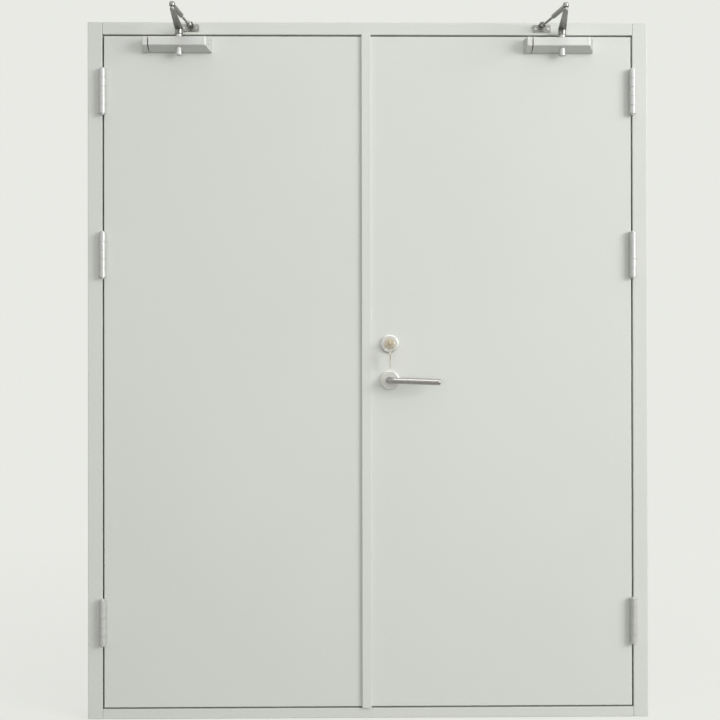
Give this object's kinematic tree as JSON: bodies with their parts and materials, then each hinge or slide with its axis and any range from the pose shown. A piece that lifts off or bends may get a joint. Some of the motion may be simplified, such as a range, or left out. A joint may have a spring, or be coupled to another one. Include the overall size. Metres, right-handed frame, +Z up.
{
  "type": "steel double fire door",
  "caption": "Steel double fire door: flush leaves in a rebated frame, barrel hinges, overhead closers with folding arms, a lever handle, and a cover strip on the meeting edge.",
  "frame": {"origin": "middle of the threshold's underside, at mid depth of the frame", "axes": "+Z up, +Y into the building away from the pull side, +X to the right as seen from the pull side"},
  "size_m": [1.69, 0.3345, 2.1],
  "materials": {
    "door_paint": "pale warm grey powder coat, satin",
    "frame_paint": "pale warm grey powder coat, satin",
    "closer_paint": "silver grey enamel, satin",
    "satin_stainless": "satin brushed",
    "hinge_steel": "bright plated, satin",
    "arm_steel": "grey plated steel, satin",
    "key_brass": "nickel brass, worn satin",
    "seal_rubber": "matte black"
  },
  "bodies": {
    "frame": {"head": "frame_paint", "head_seal": "seal_rubber", "left_bottom_hinge_frame_half": "hinge_steel", "left_closer_shoe": "arm_steel", "left_jamb": "frame_paint", "left_middle_hinge_frame_half": "hinge_steel", "left_seal": "seal_rubber", "left_top_hinge_frame_half": "hinge_steel", "right_bottom_hinge_frame_half": "hinge_steel", "right_closer_shoe": "arm_steel", "right_jamb": "frame_paint", "right_middle_hinge_frame_half": "hinge_steel", "right_seal": "seal_rubber", "right_top_hinge_frame_half": "hinge_steel", "threshold": "frame_paint"},
    "left_leaf": {"bottom_flush_bolt": "satin_stainless", "left_bottom_hinge_leaf_half": "hinge_steel", "left_closer_body": "closer_paint", "left_closer_inner_cover": "closer_paint", "left_closer_outer_cover": "closer_paint", "left_leaf_back_skin": "door_paint", "left_leaf_panel": "door_paint", "left_middle_hinge_leaf_half": "hinge_steel", "left_top_hinge_leaf_half": "hinge_steel", "strike_plate": "satin_stainless", "top_flush_bolt": "satin_stainless"},
    "right_leaf": {"back_cylinder_rosette": "satin_stainless", "back_lever_rosette": "satin_stainless", "cover_strip": "door_paint", "front_cylinder_rosette": "satin_stainless", "front_lever_rosette": "satin_stainless", "lock_cylinder": "satin_stainless", "lock_forend": "satin_stainless", "right_bottom_hinge_leaf_half": "hinge_steel", "right_closer_body": "closer_paint", "right_closer_inner_cover": "closer_paint", "right_closer_outer_cover": "closer_paint", "right_leaf_back_skin": "door_paint", "right_leaf_panel": "door_paint", "right_middle_hinge_leaf_half": "hinge_steel", "right_top_hinge_leaf_half": "hinge_steel"},
    "left_main_arm": {"left_main_arm": "arm_steel"},
    "left_forearm": {"left_forearm": "arm_steel"},
    "right_main_arm": {"right_main_arm": "arm_steel"},
    "right_forearm": {"right_forearm": "arm_steel"},
    "lever": {"back_lever": "satin_stainless", "front_lever": "satin_stainless"},
    "key": {"cylinder_plug": "key_brass", "key": "key_brass", "key_ring": "satin_stainless", "spare_key": "key_brass"}
  },
  "joints": [
    {"name": "left_leaf_hinge", "type": "hinge", "parent": "frame", "child": "left_leaf", "pos_m": [-0.7985, -0.066, 1.046], "axis": [0, 0, -1], "range_deg": [0, 100], "stiffness_Nm_per_rad": 12, "springref_deg": -17.19},
    {"name": "right_leaf_hinge", "type": "hinge", "parent": "frame", "child": "right_leaf", "pos_m": [0.7985, -0.066, 1.046], "axis": [0, 0, 1], "range_deg": [0, 100], "stiffness_Nm_per_rad": 12, "springref_deg": -17.19},
    {"name": "left_main_arm_turn", "type": "hinge", "parent": "left_leaf", "child": "left_main_arm", "pos_m": [-0.567, -0.078, 2.073], "axis": [0, 0, 1], "range_deg": [0, 214.35]},
    {"name": "left_forearm_turn", "type": "hinge", "parent": "frame", "child": "left_forearm", "pos_m": [-0.536, -0.083, 2.084], "axis": [0, 0, -1], "range_deg": [0, 43.3]},
    {"name": "right_main_arm_turn", "type": "hinge", "parent": "right_leaf", "child": "right_main_arm", "pos_m": [0.584, -0.078, 2.073], "axis": [0, 0, -1], "range_deg": [0, 203.55]},
    {"name": "right_forearm_turn", "type": "hinge", "parent": "frame", "child": "right_forearm", "pos_m": [0.526, -0.083, 2.084], "axis": [0, 0, 1], "range_deg": [0, 39.56]},
    {"name": "lever_turn", "type": "hinge", "parent": "right_leaf", "child": "lever", "pos_m": [0.064, -0.03, 1.018], "axis": [0, 1, 0], "range_deg": [0, 45], "stiffness_Nm_per_rad": 1.5, "springref_deg": -28.65},
    {"name": "key_turn", "type": "hinge", "parent": "right_leaf", "child": "key", "pos_m": [0.064, -0.065, 1.1275], "axis": [0, -1, 0], "range_deg": [0, 90]}
  ],
  "couplings": [
    {"joint": "left_main_arm_turn", "follows": "left_leaf_hinge", "ratio": 2.1435},
    {"joint": "left_forearm_turn", "follows": "left_leaf_hinge", "ratio": 0.43288},
    {"joint": "right_main_arm_turn", "follows": "right_leaf_hinge", "ratio": 2.0354},
    {"joint": "right_forearm_turn", "follows": "right_leaf_hinge", "ratio": 0.39544}
  ]
}
